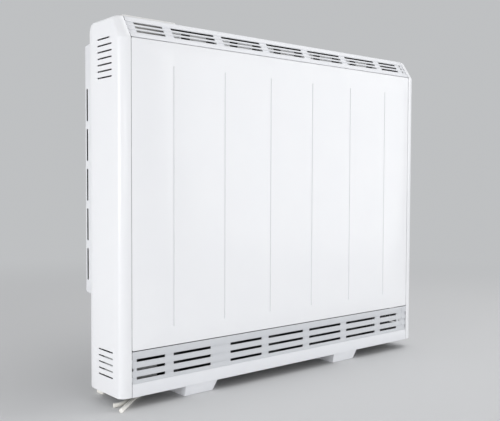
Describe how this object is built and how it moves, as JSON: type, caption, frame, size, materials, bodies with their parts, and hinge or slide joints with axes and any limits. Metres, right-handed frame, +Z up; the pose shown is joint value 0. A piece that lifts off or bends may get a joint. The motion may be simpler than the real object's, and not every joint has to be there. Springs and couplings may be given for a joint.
{
  "type": "storage heater",
  "caption": "Slimline electric storage heater: flat panelled steel case on two feet, louvred grilles, brick heat store, damper, push-button controls and a wall stand-off frame.",
  "frame": {"origin": "on the floor, centred under the heater and its wall stand-off frame", "axes": "+X to the heater's right seen from the front, +Y towards the wall, +Z up; the front faces -Y"},
  "size_m": [0.8575, 0.1906, 0.7336],
  "materials": {
    "white_paint": "semi-gloss white stoved enamel",
    "grille_paint": "satin off-white stoved enamel",
    "galvanised_steel": "dull zinc coated sheet",
    "plated_steel": "zinc plated",
    "white_plastic": "fine grained white moulding",
    "dark_plastic": "dark moulding",
    "smoked_lens": "polished smoked window",
    "circuit_board": "green solder resist",
    "storage_brick": "pressed iron oxide brick",
    "element_sheath": "heat tinted sheath",
    "insulation_board": "matt mineral board",
    "cable_sheath": "smooth white cable sheath"
  },
  "bodies": {
    "heater": {"left_side_panel": "white_paint", "right_side_panel": "white_paint", "front_panel": "white_paint", "top_panel": "white_paint", "top_grille": "grille_paint", "lower_grille": "grille_paint", "grille_screw": "plated_steel", "plinth_rail": "grille_paint", "base_tray": "galvanised_steel", "back_panel": "galvanised_steel", "standoff_frame": "grille_paint", "left_foot": "grille_paint", "right_foot": "grille_paint", "control_cover": "white_plastic", "display_window": "smoked_lens", "display_module": "dark_plastic", "control_board": "circuit_board", "control_housing": "white_plastic", "storage_brick_1a": "storage_brick", "storage_brick_1b": "storage_brick", "storage_brick_1c": "storage_brick", "storage_brick_2a": "storage_brick", "storage_brick_2b": "storage_brick", "storage_brick_2c": "storage_brick", "storage_brick_3a": "storage_brick", "storage_brick_3b": "storage_brick", "storage_brick_3c": "storage_brick", "heating_element_1": "element_sheath", "heating_element_2": "element_sheath", "core_case": "galvanised_steel", "core_front": "galvanised_steel", "core_lid": "galvanised_steel", "core_shelf": "galvanised_steel", "insulation_front": "insulation_board", "insulation_back": "insulation_board", "insulation_left": "insulation_board", "insulation_right": "insulation_board", "insulation_base": "insulation_board", "insulation_top": "insulation_board", "outlet_deflector": "galvanised_steel", "damper_bearing_left": "dark_plastic", "damper_bearing_right": "dark_plastic", "damper_motor": "dark_plastic", "terminal_bracket": "galvanised_steel", "terminal_block": "white_plastic", "thermal_cutout": "dark_plastic", "core_sensor": "plated_steel", "room_sensor": "white_plastic", "cord_grip": "white_plastic", "supply_cable_left": "cable_sheath", "supply_cable_front": "cable_sheath"},
    "damper": {"damper_flap": "galvanised_steel", "damper_shaft": "plated_steel"},
    "mode_key": {"mode_button": "white_plastic"},
    "minus_key": {"minus_button": "white_plastic"},
    "plus_key": {"plus_button": "white_plastic"},
    "enter_key": {"enter_button": "white_plastic"},
    "boost_key": {"boost_button": "white_plastic"},
    "cutout_reset": {"cutout_reset_button": "white_plastic"}
  },
  "joints": [
    {"name": "damper_hinge", "type": "hinge", "parent": "heater", "child": "damper", "pos_m": [0, -0.0025, 0.6622], "axis": [-1, 0, 0], "range_deg": [0, 70]},
    {"name": "mode_press", "type": "slide", "parent": "heater", "child": "mode_key", "axis": [0, 0, -1], "range_m": [0, 0.001], "stiffness_N_per_m": 400, "springref_m": -0.0005},
    {"name": "minus_press", "type": "slide", "parent": "heater", "child": "minus_key", "axis": [0, 0, -1], "range_m": [0, 0.001], "stiffness_N_per_m": 400, "springref_m": -0.0005},
    {"name": "plus_press", "type": "slide", "parent": "heater", "child": "plus_key", "axis": [0, 0, -1], "range_m": [0, 0.001], "stiffness_N_per_m": 400, "springref_m": -0.0005},
    {"name": "enter_press", "type": "slide", "parent": "heater", "child": "enter_key", "axis": [0, 0, -1], "range_m": [0, 0.001], "stiffness_N_per_m": 400, "springref_m": -0.0005},
    {"name": "boost_press", "type": "slide", "parent": "heater", "child": "boost_key", "axis": [0, 0, -1], "range_m": [0, 0.001], "stiffness_N_per_m": 400, "springref_m": -0.0005},
    {"name": "reset_press", "type": "slide", "parent": "heater", "child": "cutout_reset", "axis": [1, 0, 0], "range_m": [0, 0.0015], "stiffness_N_per_m": 400, "springref_m": -0.0005}
  ]
}
